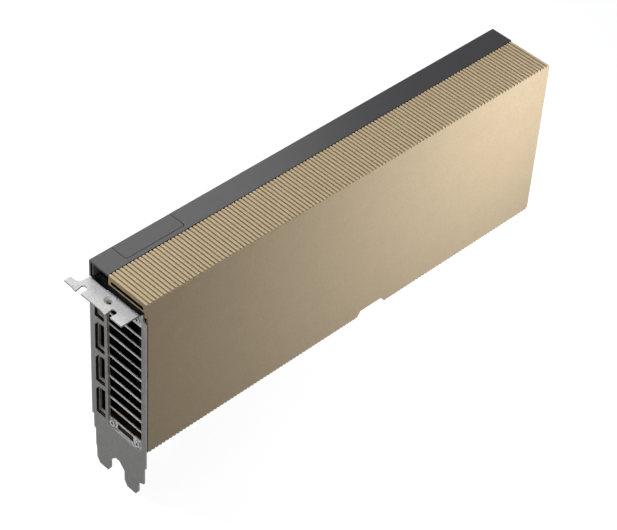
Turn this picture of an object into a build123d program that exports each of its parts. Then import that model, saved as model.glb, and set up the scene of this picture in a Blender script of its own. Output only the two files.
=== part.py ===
from build123d import *
import os

# A full-height, double-width accelerator card without a fan.
# X runs along the card, away from the bracket. Z is up, away from the edge connector.
# The component side and the gold face look towards -Y, the backplate towards +Y.
# The origin is the middle of the key notch, at the bottom of the edge fingers, in the board's mid-plane.
# All sizes are in millimetres.

# Overall sizes
key_to_bracket = 59.05
key_to_board_edge = 57.15
card_length = 267.7
card_top = 111.15
back_depth = 2.67
front_depth = 34.80
board_thick = 1.57

# Bracket
sheet = 0.86
bracket_height = 120.02
bracket_width = 38.74
bracket_inset = 0.25
tab_underside = 100.36
tab_depth = 9.9
tab_end_inset = 5.05
bend_inner = 0.4
nearly = 0.01
ear_reach = 5.5
ear_width = 3.8
ear_hollow = 3.0
ear_round = 0.8
slot_pitch = 20.32
notch_width = 3.6
notch_depth = 4.7
notch_from_edge = 4.25
notch_round = 1.3
lead_in_width = 3.9
lead_in_drop = 1.0
formed_hole_x = 3.05
formed_hole_y = 17.8
formed_hole_top = 2.75
formed_hole_low = 1.45
formed_hole_drop = 1.2
formed_hole_collar = 1.25
formed_hole_rim = 0.6
tongue_width = 10.2
tongue_from_edge = 8.2
tongue_tip_side = 2.0
tongue_tip_rise = 3.2
tongue_height = 9.2
arch_rise = 3.9
arch_flat = 2.6
upper_step_z = 13.0
upper_step_in = 1.3
lower_step_z = 3.4
lower_step_in = 1.2
step_slope = 0.8
shoulder_z = -7.3
shoulder_slope = 2.0
corner_ear_height = 2.75
corner_ear_slant = 0.35
corner_ear_bevel = 0.6
corner_cut_side = 1.8
corner_cut_drop = 3.4
relief_width = 1.8
relief_height = 0.55

# Video ports
port_count = 4
port_pitch = 21.1
port_top_z = 88.8
port_y = -3.45
port_window_width = 6.6
port_window_height = 18.3
port_corner_side = 2.4
port_corner_rise = 3.0
port_shell_width = 5.2
port_shell_height = 16.9
port_shell_depth = 15.6
port_shell_wall = 0.35
port_shell_recess = 1.2
port_block_recess = 1.3
port_block_wall = 0.45
port_cavity_depth = 5.5
port_tongue_thick = 1.2
port_tongue_width = 11.0
port_tongue_recess = 0.6

# Vent window and its grille
vent_from_edge = 12.05
vent_width = 23.8
vent_low_z = 13.2
vent_top_gap = 1.6
vent_round = 2.0
grille_thick = 0.6
grille_lap = 1.0
cell_low_z = 18.9
cell_high_z = 94.1
cell_count = 11
slat_wide = 0.9
slat_narrow = 0.55
panel_slot_width = 11.5
panel_slot_height = 4.2
panel_slot_z = 16.2
grille_screw_left_in = 2.35
grille_screw_right_in = 3.55
grille_screw_low_z = 16.2
grille_screw_high_z = 97.5

# Circuit board
board_low_z = 8.25
board_top_gap = 0.35
board_far_gap = 4.0
board_corner_gap = 0.4
key_width = 1.9
key_depth = 7.4
finger_left = 11.65
finger_right = 71.65
finger_bevel = 1.2
hook_gap = 3.6
hook_width = 5.0
hook_rise = 1.7
hook_lip = 1.6
contact_pitch = 1.0
link_contact_pitch = 2.0
contact_width = 0.7
contact_low_z = 1.3
contact_height = 5.3
contact_thick = 0.05
contact_start = 0.6
link_contact_count = 13

# Shroud
shroud_wall = 1.2
shroud_band = 2.2
shroud_low_z = 14.73
shroud_rail_gap = 0.4
shroud_start = 0.3
shroud_set_back = 1.5
lip_over_bracket = 1.75
rail_over_tab = 0.4
rib_count = 123
groove_width = 0.92
groove_floor = 0.72
groove_depth = 0.8
lip_depth = 0.8
lip_low = 5.5
lip_slot_high = 2.6
lip_slot_height = 2.0
lip_slot_side = 1.8
lip_slot_rail_side = 1.6
lip_slot_round = 0.98
notch_start_x = 80.3
notch_length = 19.8
notch_rise = 3.5
notch_ramp = 2.5
boss_size = 5.0
boss_length = 6.0
boss_height = 2.6
floor_gap = 0.3

# Top rail and its hatch
rail_width = 13.0
rail_wall = 1.2
rail_drop = 10.65
rail_flange_drop = 6.5
rail_rib_thick = 0.75
rail_rib_gap = 1.05
rail_rib_drop = 7.75
rail_rib_length = 8.0
hatch_start = 13.05
hatch_length = 35.2
hatch_width = 10.6
hatch_drop = 7.0
hatch_round = 1.4
hatch_gap = 0.2
hatch_lip = 1.0
hatch_lip_thick = 0.7

# Backplate
backplate_wall = 1.2
backplate_low_z = 10.0
backplate_gap = 0.3
backplate_window = 68.0
backplate_round = 6.0

# Processor, memory and heatsink
processor_x = 40.0
processor_z = 61.0
substrate_size = 42.0
substrate_thick = 1.2
die_size = 25.0
die_thick = 0.8
ring_width = 4.0
ring_thick = 0.6
memory_long = 14.0
memory_short = 12.0
memory_thick = 1.1
memory_gap = 3.0
memory_pitch = 16.0
block_margin = 2.4
block_thick = 4.5
chamber_thick = 2.5
chamber_start = 20.0
chamber_end_gap = 24.7
chamber_low_z = 19.0
chamber_high_z = 104.0
fin_count = 36
fin_thick = 0.4
fin_web = 0.5
fin_top_gap = 0.4

# Power parts
inductor_size = 11.0
inductor_height = 5.5
inductor_from_far = 96.65
inductor_step_x = 20.0
inductor_step_z = 18.0
inductor_columns = 2
inductor_rows = 3
inductor_chamfer = 0.8
stage_length = 6.0
stage_width = 5.0
stage_height = 0.9
capacitor_radius = 3.0
capacitor_height = 5.5
capacitor_from_far = 56.65
capacitor_pitch = 9.0
capacitor_rows = 6
capacitor_columns = 2

# Power connector
plug_length = 21.0
plug_height = 9.6
plug_width = 19.4
plug_low_z = 87.9
plug_far_gap = 0.6
cell_pitch = 4.2
cell_columns = 4
cell_size = 3.4
cell_depth = 12.0
pin_size = 1.0
pin_length = 9.0
latch_width = 4.0
latch_height = 1.0
latch_length = 3.0

# Frames and fasteners
frame_thick = 3.0
frame_far_gap = 0.3
frame_fit = 0.1
inlet_low_z = 23.5
inlet_high_z = 102.0
inlet_near_y = -13.0
inlet_far_y = -31.9
inlet_round = 2.5
foot_length = 10.0
foot_height = 10.0
foot_thick = 1.5
extender_hole = 1.25
extender_low_z = 20.2
extender_span_z = 85.2
extender_near_y = -14.0
extender_span_y = 16.0
crossbar_depth = 4.5
crossbar_low_z = 94.9
crossbar_high_z = 104.8
crossbar_step_z = 98.2
screw_shank = 1.2
screw_head = 2.2
screw_sink = 1.0
screw_reach = 5.0
hole_clearance = 0.1
post_radius = 2.6
small_shank = 0.7
small_head = 2.0
small_head_rise = 0.7
small_reach = 4.0
recess_radius = 0.75
recess_depth = 0.5
screw_row_low = 23.0
screw_row_high = 97.8
screw_near = 23.05
screw_far = 30.65
screw_from_block = 11.86
foot_low_z = 30.0
foot_high_z = 66.0
spring_offset = 28.0
spring_arm = 7.0
spring_turn = 45
spring_thick = 0.8
spring_head = 2.7
spring_head_rise = 1.2
lug_low_z = 9.4
lug_height = 5.0
lug_length = 12.0
lug_screw_x = 7.7
lug_head_rise = 1.4
frame_screw_depth = 17.6
frame_screw_step = 8.0
rod_side_count = 12
can_side_count = 16
dish_side_count = 24

# Places worked out from the sizes above
bracket_outer = -key_to_bracket
bracket_inner = bracket_outer + sheet
far_end = bracket_outer + card_length
board_front = -board_thick / 2
board_back = board_thick / 2
back_face = board_back + back_depth
broad_face = board_front - front_depth
tab_top = tab_underside + sheet
bracket_left = back_face - bracket_inset
bracket_right = bracket_left - bracket_width
tongue_low = tab_top - bracket_height
tab_right = bracket_right + tab_end_inset
bend_low = tab_top - 2 * (sheet + bend_inner)
vent_left = bracket_left - vent_from_edge
vent_right = vent_left - vent_width
vent_high_z = tab_top - vent_top_gap
near_face = bracket_outer + shroud_start
set_back_face = bracket_outer + shroud_set_back
lip_floor_z = tab_top + lip_over_bracket
rail_floor_z = tab_top + rail_over_tab
rail_edge = back_face - rail_width
rail_under = card_top - rail_wall
shroud_edge = rail_edge - shroud_rail_gap
shroud_inner = broad_face + shroud_wall
band_under = card_top - shroud_band
band_over = shroud_low_z + shroud_band
rail_foot = card_top - rail_drop
backplate_inner = back_face - backplate_wall
board_near = -key_to_board_edge
board_far = far_end - board_far_gap
board_top = rail_under - board_top_gap
die_top = board_front - substrate_thick - die_thick
block_top = die_top - block_thick
chamber_top = block_top - chamber_thick
chamber_near = bracket_outer + chamber_start
chamber_far = far_end - chamber_end_gap
fin_tip = shroud_inner + fin_top_gap
memory_reach = substrate_size / 2 + memory_gap + memory_short
frame_far = far_end - frame_far_gap
frame_near = frame_far - frame_thick
hatch_near = bracket_outer + hatch_start
hatch_far = hatch_near + hatch_length
hatch_edge = back_face - hatch_width
screw_near_x = bracket_outer + screw_near
screw_far_x = far_end - screw_far
screw_middle_x = processor_x + memory_reach + block_margin + screw_from_block
screw_columns = [screw_near_x, screw_middle_x, screw_far_x]
inductor_x = far_end - inductor_from_far
capacitor_x = far_end - capacitor_from_far
frame_screw_ys = [broad_face + frame_screw_depth, broad_face + frame_screw_depth - frame_screw_step]


def block(x0, x1, y0, y1, z0, z1):
    """A box between two corners."""
    return Pos((x0 + x1) / 2, (y0 + y1) / 2, (z0 + z1) / 2) * Box(abs(x1 - x0), abs(y1 - y0), abs(z1 - z0))


def plate_x(points, x0, x1):
    """An outline given as (y, z) points, made solid from x0 to x1."""
    outline = make_face(Polyline(*[(x0, y, z) for y, z in points], close=True))
    return extrude(outline, amount=x1 - x0, dir=(1, 0, 0))


def plate_y(points, y0, y1):
    """An outline given as (x, z) points, made solid from y0 to y1."""
    outline = make_face(Polyline(*[(x, y0, z) for x, z in points], close=True))
    return extrude(outline, amount=y1 - y0, dir=(0, 1, 0))


def prism(radius, length, sides):
    """A many-sided rod on the Z axis, centred, which stands for a small round one."""
    return Pos(0, 0, -length / 2) * extrude(RegularPolygon(radius, sides), amount=length)


def cone(low_radius, high_radius, length, sides):
    """A many-sided cone along Z, from z = 0 to z = length."""
    return loft([RegularPolygon(low_radius, sides), Pos(0, 0, length) * RegularPolygon(high_radius, sides)])


def rod_x(x0, x1, y, z, radius):
    return Pos((x0 + x1) / 2, y, z) * Rot(0, 90, 0) * prism(radius, abs(x1 - x0), rod_side_count)


def rod_y(x, y0, y1, z, radius, sides=rod_side_count):
    return Pos(x, (y0 + y1) / 2, z) * Rot(90, 0, 0) * prism(radius, abs(y1 - y0), sides)


def rod_z(x, y, z0, z1, radius):
    return Pos(x, y, (z0 + z1) / 2) * prism(radius, abs(z1 - z0), rod_side_count)


def round_hole_x(x0, x1, y, z, radius):
    return Pos((x0 + x1) / 2, y, z) * Rot(0, 90, 0) * Cylinder(radius, abs(x1 - x0))


def rounded(solid, axis, radius):
    """Round the edges of a box that run along one axis."""
    return fillet(solid.edges().filter_by(axis), radius)


def fuse(pieces):
    whole = pieces[0]
    for piece in pieces[1:]:
        whole = whole + piece
    return whole


def cut(solid, tools):
    for tool in tools:
        solid = solid - tool
    return solid


def port_outline(z, width, height, corner_side, corner_rise):
    """A video port's outline: a rectangle with the upper corner on the board's side cut off."""
    left = port_y + width / 2
    right = port_y - width / 2
    low = z - height / 2
    high = z + height / 2
    return [(left, low), (left, high - corner_rise), (left - corner_side, high), (right, high), (right, low)]


port_zs = [port_top_z - index * port_pitch for index in range(port_count)]
port_ratio = port_shell_width / port_window_width


def bracket_outline():
    """The bracket's flat face: steps down both sides, and two tongues with an arch between them."""
    first = bracket_left - tongue_from_edge
    second = first - slot_pitch
    half = tongue_width / 2
    left_in = bracket_left - upper_step_in
    left_low = left_in - lower_step_in
    right_low = bracket_right + lower_step_in
    tip_z = tongue_low + tongue_tip_rise
    root_z = tongue_low + tongue_height
    arch_z = root_z + arch_rise
    arch_mid = (first + second) / 2
    cut_y = bracket_right + corner_cut_side
    bend_z = tab_top - sheet - bend_inner
    return [
        (bracket_left, bend_z),
        (bracket_left, upper_step_z),
        (left_in, upper_step_z),
        (left_in, lower_step_z + step_slope),
        (left_low, lower_step_z),
        (left_low, shoulder_z),
        (first + half, shoulder_z - shoulder_slope),
        (first + half, tip_z),
        (first + half - tongue_tip_side, tongue_low),
        (first - half + tongue_tip_side, tongue_low),
        (first - half, tip_z),
        (first - half, root_z),
        (arch_mid + arch_flat / 2, arch_z),
        (arch_mid - arch_flat / 2, arch_z),
        (second + half, root_z),
        (second + half, tip_z),
        (second + half - tongue_tip_side, tongue_low),
        (second - half + tongue_tip_side, tongue_low),
        (second - half, tip_z),
        (second - half, shoulder_z - shoulder_slope),
        (right_low, shoulder_z),
        (right_low, lower_step_z),
        (bracket_right, lower_step_z + step_slope),
        (bracket_right, tab_top - corner_cut_drop),
        (cut_y, tab_top - step_slope),
        (cut_y, tab_top + corner_ear_height - corner_ear_bevel),
        (cut_y + corner_ear_slant, tab_top + corner_ear_height),
        (tab_right, bend_z),
    ]


def bracket_tab():
    """The folded tab, with its ear, screw notches, bent lead-ins and formed hole."""
    tab_outer = bracket_outer - tab_depth
    fold = [(bracket_inner, bend_low), (bracket_inner, tab_top), (tab_outer, tab_top),
            (tab_outer, tab_underside), (bracket_outer, tab_underside), (bracket_outer, bend_low)]
    strip = plate_y(fold, tab_right, bracket_left + ear_reach)
    corners = strip.edges().filter_by(Axis.Y)
    strip = fillet(corners.filter_by_position(Axis.X, bracket_inner - nearly,
                                              bracket_inner + nearly).sort_by(Axis.Z)[-1:],
                   sheet + bend_inner)
    inner = strip.edges().filter_by(Axis.Y).filter_by_position(Axis.X, bracket_outer - nearly,
                                                               bracket_outer + nearly)
    strip = fillet(inner.sort_by(Axis.Z)[-1:], bend_inner)
    hollow_x = tab_outer + ear_width
    hollow = block(hollow_x, bracket_inner + sheet, bracket_left, bracket_left + 2 * ear_reach,
                   bend_low - sheet, tab_top + sheet)
    hollow_edge = hollow.edges().filter_by(Axis.Z).sort_by_distance((hollow_x, bracket_left, tab_top))[:1]
    strip = strip - fillet(hollow_edge, ear_hollow)
    tip = strip.edges().filter_by(Axis.Z).sort_by_distance((hollow_x, bracket_left + ear_reach, tab_top))[:1]
    strip = fillet(tip, ear_round)
    for index in range(2):
        strip = screw_notch(strip, bracket_left - notch_from_edge - index * slot_pitch)
    return formed_hole(strip)


def screw_notch(strip, y):
    """One open notch for a chassis screw, with the tab's corner beside it bent down as a lead-in."""
    tab_outer = bracket_outer - tab_depth
    inner_x = tab_outer + notch_depth
    side = y + notch_width / 2
    opening = block(tab_outer - sheet, inner_x, y - notch_width / 2, side, tab_underside - sheet,
                    tab_top + sheet)
    ends = opening.edges().filter_by(Axis.Z).sort_by(Axis.X)[-2:]
    strip = strip - fillet(ends, notch_round)
    start = (tab_outer, side + lead_in_width)
    end = (inner_x - notch_round, side)
    mouth = (tab_outer, side)
    corner = make_face(Polyline(*[(x, py, tab_underside - sheet) for x, py in (start, end, mouth)],
                                close=True))
    strip = strip - extrude(corner, amount=3 * sheet, dir=(0, 0, 1))
    bent = make_face(Polyline((*start, tab_top), (*end, tab_top), (*mouth, tab_top - lead_in_drop),
                              close=True))
    return strip + extrude(bent, amount=sheet, dir=(0, 0, -1))


def formed_hole(strip):
    """A dished hole pressed down into the tab."""
    x = bracket_outer - formed_hole_x
    y = bracket_left - formed_hole_y
    outer = formed_hole_top + formed_hole_rim
    low = tab_top - formed_hole_drop
    foot = low - formed_hole_collar
    body = Pos(x, y, foot) * cone(formed_hole_low + formed_hole_rim, outer, tab_underside - foot,
                                  dish_side_count)
    dish = Pos(x, y, low) * cone(formed_hole_low, formed_hole_top, tab_top - low, dish_side_count)
    bore = Pos(x, y, low) * prism(formed_hole_low, 4 * formed_hole_collar, dish_side_count)
    return strip + body - dish - bore


def make_bracket():
    face = plate_x(bracket_outline(), bracket_outer, bracket_inner)
    lug = block(bracket_outer, bracket_inner + lug_length, board_front - sheet, board_front,
                lug_low_z, lug_low_z + lug_height)
    body = face + bracket_tab() + lug
    vent = rounded(block(bracket_outer - sheet, bracket_inner + sheet, vent_right, vent_left, vent_low_z,
                         vent_high_z),
                   Axis.X, vent_round)
    windows = [plate_x(port_outline(z, port_window_width, port_window_height, port_corner_side,
                                    port_corner_rise),
                       bracket_outer - sheet, bracket_inner + sheet) for z in port_zs]
    lug_hole = rod_y(bracket_inner + lug_screw_x, board_front - 2 * sheet, board_front + sheet,
                     lug_low_z + lug_height / 2, screw_shank + hole_clearance)
    relief = block(bracket_outer - sheet, bracket_inner + sheet, tab_right - relief_width / 2,
                   tab_right + relief_width / 2, bend_low, bend_low + relief_height)
    return cut(body, [vent, *windows, lug_hole, relief])


grille_screw_ys = [vent_left - grille_screw_left_in, vent_right + grille_screw_right_in]
grille_screw_places = [(y, z) for y in grille_screw_ys for z in (grille_screw_low_z, grille_screw_high_z)]


def make_vent_grille():
    """A slatted plate behind the bracket, with a lower panel that has its own slot."""
    plate = block(bracket_inner, bracket_inner + grille_thick, vent_right - grille_lap,
                  vent_left + grille_lap,
                  vent_low_z - grille_lap, vent_high_z + grille_lap / 2)
    pitch = (cell_high_z - cell_low_z) / cell_count
    cells = []
    for index in range(cell_count):
        low_slat = slat_wide if index % 2 == 0 else slat_narrow
        high_slat = slat_narrow if index % 2 == 0 else slat_wide
        low = cell_low_z + index * pitch + (low_slat / 2 if index else 0)
        high = cell_low_z + (index + 1) * pitch - (high_slat / 2 if index < cell_count - 1 else 0)
        cells.append(block(bracket_inner - sheet, bracket_inner + 2 * sheet, vent_right, vent_left, low,
                           high))
    middle = (grille_screw_ys[0] + grille_screw_ys[1]) / 2
    slot = block(bracket_inner - sheet, bracket_inner + 2 * sheet, middle - panel_slot_width / 2,
                 middle + panel_slot_width / 2, panel_slot_z - panel_slot_height / 2,
                 panel_slot_z + panel_slot_height / 2)
    holes = [rod_x(bracket_inner - sheet, bracket_inner + 2 * sheet, y, z, small_shank + hole_clearance)
             for y, z in grille_screw_places]
    return cut(plate, [*cells, slot, *holes])


def small_screw_x(y, z):
    """A small screw that points along +X, with a round recess in its head."""
    head = rod_x(bracket_inner - small_head_rise, bracket_inner, y, z, small_head)
    shank = rod_x(bracket_inner, bracket_inner + grille_thick + small_reach, y, z, small_shank)
    recess = rod_x(bracket_inner - 2 * small_head_rise, bracket_inner - small_head_rise + recess_depth,
                   y, z, recess_radius)
    return head + shank - recess


def make_circuit_board():
    left = -key_width / 2 - finger_left
    right = key_width / 2 + finger_right
    hook_near = right + hook_gap
    hook_far = hook_near + hook_width
    link_z = board_top - hatch_lip_thick - board_top_gap
    corner_x = near_face + rail_rib_length + board_corner_gap
    corner_z = card_top - rail_rib_drop - board_corner_gap
    outline = [
        (board_near, board_low_z), (left, board_low_z), (left, finger_bevel), (left + finger_bevel, 0),
        (-key_width / 2, 0), (-key_width / 2, key_depth), (key_width / 2, key_depth), (key_width / 2, 0),
        (right - finger_bevel, 0), (right, finger_bevel), (right, board_low_z - hook_lip),
        (hook_near + hook_lip, board_low_z - hook_lip), (hook_near + hook_lip, hook_rise + hook_lip),
        (hook_near, hook_rise + hook_lip), (hook_near, hook_rise), (hook_far - hook_lip, hook_rise),
        (hook_far, hook_rise + hook_lip), (hook_far, board_low_z), (board_far, board_low_z),
        (board_far, board_top), (hatch_far + 2 * hatch_lip, board_top), (hatch_far + 2 * hatch_lip, link_z),
        (hatch_near - 2 * hatch_lip, link_z), (hatch_near - 2 * hatch_lip, board_top),
        (corner_x, board_top), (corner_x, corner_z), (board_near, corner_z),
    ]
    board = plate_y(outline, board_front, board_back)
    radius = screw_shank + hole_clearance
    places = board_screw_places() + spring_places() + [(bracket_inner + lug_screw_x,
                                                        lug_low_z + lug_height / 2)]
    return cut(board, [rod_y(x, -board_thick, board_thick, z, radius) for x, z in places])


def board_screw_places():
    """Every place, as (x, z), where a screw passes through the backplate and the board."""
    rows = [(x, z) for x in screw_columns for z in (screw_row_low, screw_row_high)]
    return rows + foot_places()


def foot_places():
    return [(frame_near - foot_length / 2, z) for z in (foot_low_z, foot_high_z)]


def spring_places():
    return [(processor_x + dx, processor_z + dz) for dx in (-spring_offset, spring_offset)
            for dz in (-spring_offset, spring_offset)]


def finger_contacts(y0, y1):
    """The row of contact pads on one side of the edge connector."""
    left_count = int(finger_left / contact_pitch)
    right_count = int(finger_right / contact_pitch)
    xs = [-key_width / 2 - (contact_start + contact_pitch * index) for index in range(left_count)]
    xs += [key_width / 2 + (contact_start + contact_pitch * index) for index in range(right_count)]
    half = contact_width / 2
    return [block(x - half, x + half, y0, y1, contact_low_z, contact_low_z + contact_height) for x in xs]


def link_contacts():
    """Contact pads on both sides of the board's top edge, under the hatch."""
    top = board_top - hatch_lip_thick - board_top_gap - contact_thick
    half = contact_width / 2
    middle = (hatch_near + hatch_far) / 2
    pads = []
    for index in range(link_contact_count):
        x = middle + (index - (link_contact_count - 1) / 2) * link_contact_pitch
        pads.append(block(x - half, x + half, board_front - contact_thick, board_front,
                          top - contact_height, top))
        pads.append(block(x - half, x + half, board_back, board_back + contact_thick, top - contact_height,
                          top))
    return pads


def port_shell(z):
    """The folded metal shell of one video port, open at its front and filled at its back by the insert."""
    near = bracket_outer + port_shell_recess
    far = near + port_shell_depth
    side = port_corner_side * port_ratio
    rise = port_corner_rise * port_ratio
    outer = port_outline(z, port_shell_width, port_shell_height, side, rise)
    wall = 2 * port_shell_wall
    inner = port_outline(z, port_shell_width - wall, port_shell_height - wall, side, rise)
    return plate_x(outer, near, far) - plate_x(inner, near - sheet, far + sheet)


def port_insert(z):
    """The black block inside a port's shell: a lined cavity with the contact tongue standing in it."""
    near = bracket_outer + port_shell_recess
    front = near + port_block_recess
    far = near + port_shell_depth
    side = port_corner_side * port_ratio
    rise = port_corner_rise * port_ratio
    wall = 2 * port_shell_wall
    lined = wall + 2 * port_block_wall
    body = plate_x(port_outline(z, port_shell_width - wall, port_shell_height - wall, side, rise), front, far)
    cavity = plate_x(port_outline(z, port_shell_width - lined, port_shell_height - lined, side, rise),
                     front - sheet, front + port_cavity_depth)
    tongue = block(front + port_tongue_recess, far, port_y - port_tongue_thick / 2,
                   port_y + port_tongue_thick / 2,
                   z - port_tongue_width / 2, z + port_tongue_width / 2)
    return body - cavity + tongue


def ribbed_outline():
    """The shroud seen from its broad side: lands and grooves along the top and the bottom edge."""
    pitch = (far_end - near_face) / rib_count
    slope = (groove_width - groove_floor) / 2
    top = []
    low = []
    for index in range(rib_count):
        start = near_face + (index + 1) * pitch - groove_width
        end = near_face + (index + 1) * pitch
        steps = [(start, 0), (start + slope, groove_depth), (end - slope, groove_depth), (end, 0)]
        if index == rib_count - 1:
            steps = [(start, 0), (start + slope, groove_depth), (end, groove_depth)]
        top += [(x, card_top - depth) for x, depth in steps]
        low += [(x, shroud_low_z + depth) for x, depth in steps]
    return [(near_face, card_top), *top, *reversed(low), (near_face, shroud_low_z)]


def make_shroud():
    """The gold cover: a ribbed top band, a flat broad face, a ribbed bottom band and a floor to the board."""
    body = plate_y(ribbed_outline(), broad_face, shroud_edge)
    hollow = block(near_face - sheet, far_end + sheet, shroud_inner, shroud_edge + rail_width, band_over,
                   band_under)
    floor = block(set_back_face, far_end, shroud_edge, board_front - floor_gap, shroud_low_z + groove_depth,
                  band_over)
    behind_bracket = block(near_face - sheet, set_back_face, broad_face - sheet, board_front,
                           shroud_low_z - sheet, lip_floor_z)
    body = body - hollow + floor - behind_bracket
    body = body + shroud_lip() + fuse([shroud_boss(y) for y in grille_screw_ys])
    ramp_end = notch_start_x + notch_length
    notch = [(notch_start_x, shroud_low_z), (notch_start_x + notch_ramp, shroud_low_z + notch_rise),
             (ramp_end - notch_ramp, shroud_low_z + notch_rise), (ramp_end, shroud_low_z),
             (ramp_end, shroud_low_z - sheet), (notch_start_x, shroud_low_z - sheet)]
    body = body - plate_y(notch, broad_face - sheet, board_front)
    screws = [rod_x(set_back_face - sheet, set_back_face + boss_length - sheet, y, grille_screw_low_z,
                    small_shank + hole_clearance / 2) for y in grille_screw_ys]
    x = (frame_near + frame_far) / 2
    for y in frame_screw_ys:
        screws.append(rod_z(x, y, shroud_low_z - sheet, band_over + sheet, small_shank + hole_clearance))
        screws.append(rod_z(x, y, shroud_low_z - sheet, shroud_low_z + small_head_rise,
                            small_head + hole_clearance))
    return cut(body, screws)


def shroud_lip():
    """The near end's short wall below the top band, with its long slot."""
    low = card_top - lip_low
    lip = block(near_face, near_face + lip_depth, shroud_inner, shroud_edge, low, band_under)
    high = card_top - lip_slot_high
    slot = rounded(block(near_face - sheet, near_face + lip_depth + sheet, broad_face + lip_slot_side,
                         shroud_edge - lip_slot_rail_side, high - lip_slot_height, high),
                   Axis.X, lip_slot_round)
    return lip - slot


def shroud_boss(y):
    return block(set_back_face, set_back_face + boss_length, y - boss_size / 2, y + boss_size / 2,
                 band_over, band_over + boss_height)


def make_top_rail():
    """An open channel: a top plate, an outer wall, a short rib, and a flange behind the board."""
    profile = [(rail_edge, card_top), (back_face, card_top), (back_face, rail_foot),
               (backplate_inner, rail_foot),
               (backplate_inner, rail_foot - rail_flange_drop), (board_back, rail_foot - rail_flange_drop),
               (board_back, rail_foot + rail_wall), (backplate_inner, rail_foot + rail_wall),
               (backplate_inner, rail_under), (rail_edge, rail_under)]
    rail = plate_x(profile, near_face, far_end)
    rail = rail - block(near_face - sheet, set_back_face, board_front - sheet, back_face + sheet,
                        rail_foot - rail_flange_drop - sheet, rail_floor_z)
    rib_left = backplate_inner - rail_rib_gap
    rail = rail + block(near_face, near_face + rail_rib_length, rib_left - rail_rib_thick, rib_left,
                        card_top - rail_rib_drop, rail_under)
    opening = block(hatch_near, hatch_far, hatch_edge, back_face + sheet, card_top - hatch_drop,
                    card_top + sheet)
    inner_edges = opening.edges().filter_by(Axis.Z).sort_by(Axis.Y)[:2]
    opening = fillet(inner_edges, hatch_round)
    holes = [rod_y(x, board_front, back_face + sheet, screw_row_high, screw_shank + hole_clearance)
             for x in screw_columns]
    return cut(rail, [opening, *holes])


def make_hatch_cover():
    """The cover in the rail: a plate turned down at the outer edge, with a lip that clips under the rail."""
    cover = block(hatch_near + hatch_gap, hatch_far - hatch_gap, hatch_edge + hatch_gap, back_face,
                  card_top - hatch_drop + hatch_gap, card_top)
    cover = fillet(cover.edges().filter_by(Axis.Z).sort_by(Axis.Y)[:2], hatch_round)
    cover = cover - block(hatch_near - sheet, hatch_far + sheet, hatch_edge - sheet, backplate_inner,
                          card_top - hatch_drop - sheet, rail_under)
    lip = block(hatch_near - hatch_lip, hatch_far + hatch_lip, hatch_edge - hatch_lip, backplate_inner,
                rail_under - hatch_lip_thick, rail_under)
    return cover + lip


def make_backplate():
    plate = block(set_back_face, far_end - backplate_gap, backplate_inner, back_face, backplate_low_z,
                  rail_foot)
    half = backplate_window / 2
    window = rounded(block(processor_x - half, processor_x + half, backplate_inner - sheet, back_face + sheet,
                           max(processor_z - half, backplate_low_z + backplate_round),
                           min(processor_z + half, rail_foot - rail_flange_drop)), Axis.Y, backplate_round)
    holes = [screw_hole(x, z) for x, z in board_screw_places()]
    return cut(plate, [window, *holes])


def screw_solid(x, z, clearance, low_y):
    """A countersunk screw's body, or its hole, entered from the back face."""
    seat = back_face - screw_sink - clearance
    head = Pos(x, seat, z) * Rot(-90, 0, 0) * cone(screw_shank + clearance, screw_head + clearance,
                                                   back_face - seat, rod_side_count)
    return head + rod_y(x, low_y, seat, z, screw_shank + clearance)


def screw_hole(x, z):
    return screw_solid(x, z, hole_clearance, backplate_inner - sheet)


def countersunk_screw(x, z, low_y):
    recess = rod_y(x, back_face - recess_depth, back_face + sheet, z, recess_radius)
    return screw_solid(x, z, 0, low_y) - recess


def board_screws():
    rows = [(x, z) for x in screw_columns for z in (screw_row_low, screw_row_high)]
    long_screws = [countersunk_screw(x, z, board_front - screw_reach) for x, z in rows]
    return long_screws + [countersunk_screw(x, z, board_front - foot_thick) for x, z in foot_places()]


def spacer(x, z, y0, y1):
    hole = rod_y(x, y0 - sheet, y1 + sheet, z, screw_shank + hole_clearance)
    return rod_y(x, y0, y1, z, post_radius) - hole


def make_near_crossbar():
    """The black bar behind the top of the bracket, which takes the grille's upper screws."""
    far = set_back_face + crossbar_depth
    main = block(set_back_face, far, shroud_inner, shroud_edge, crossbar_low_z, crossbar_high_z)
    end_near = set_back_face + lip_depth
    step = block(end_near, far, shroud_edge, board_front, crossbar_step_z, crossbar_high_z)
    holes = [rod_x(set_back_face - sheet, far + sheet, y, grille_screw_high_z,
                   small_shank + hole_clearance / 2)
             for y in grille_screw_ys]
    return cut(main + step, holes)


def make_far_frame():
    """The frame at the far end: an air inlet, an opening for the power connector and four threaded holes."""
    ring = block(frame_near, frame_far, shroud_inner, board_back - frame_fit, band_over, band_under)
    inlet = rounded(block(frame_near - sheet, frame_far + sheet, inlet_far_y, inlet_near_y, inlet_low_z,
                          inlet_high_z),
                    Axis.X, inlet_round)
    fit = 3 * frame_fit
    port = block(frame_near - sheet, frame_far + sheet, board_front - plug_height - latch_height - fit,
                 board_front,
                 plug_low_z - fit, plug_low_z + plug_width + fit)
    holes = [round_hole_x(frame_near - sheet, frame_far + sheet, y, z, extender_hole) for y,
             z in extender_places()]
    x = (frame_near + frame_far) / 2
    holes += [rod_z(x, y, band_over - sheet, band_over + small_reach, small_shank + hole_clearance / 2)
              for y in frame_screw_ys]
    feet = [frame_foot(x, z) for x, z in foot_places()]
    return cut(fuse([ring, *feet]), [inlet, port, *holes])


def extender_places():
    ys = (extender_near_y, extender_near_y - extender_span_y)
    return [(y, z) for y in ys for z in (extender_low_z, extender_low_z + extender_span_z)]


def frame_foot(x, z):
    foot = block(frame_near - foot_length, frame_near, board_front - foot_thick, board_front,
                 z - foot_height / 2, z + foot_height / 2)
    return foot - rod_y(x, board_front - 2 * foot_thick, board_front + sheet, z,
                        screw_shank + hole_clearance / 2)


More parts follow.
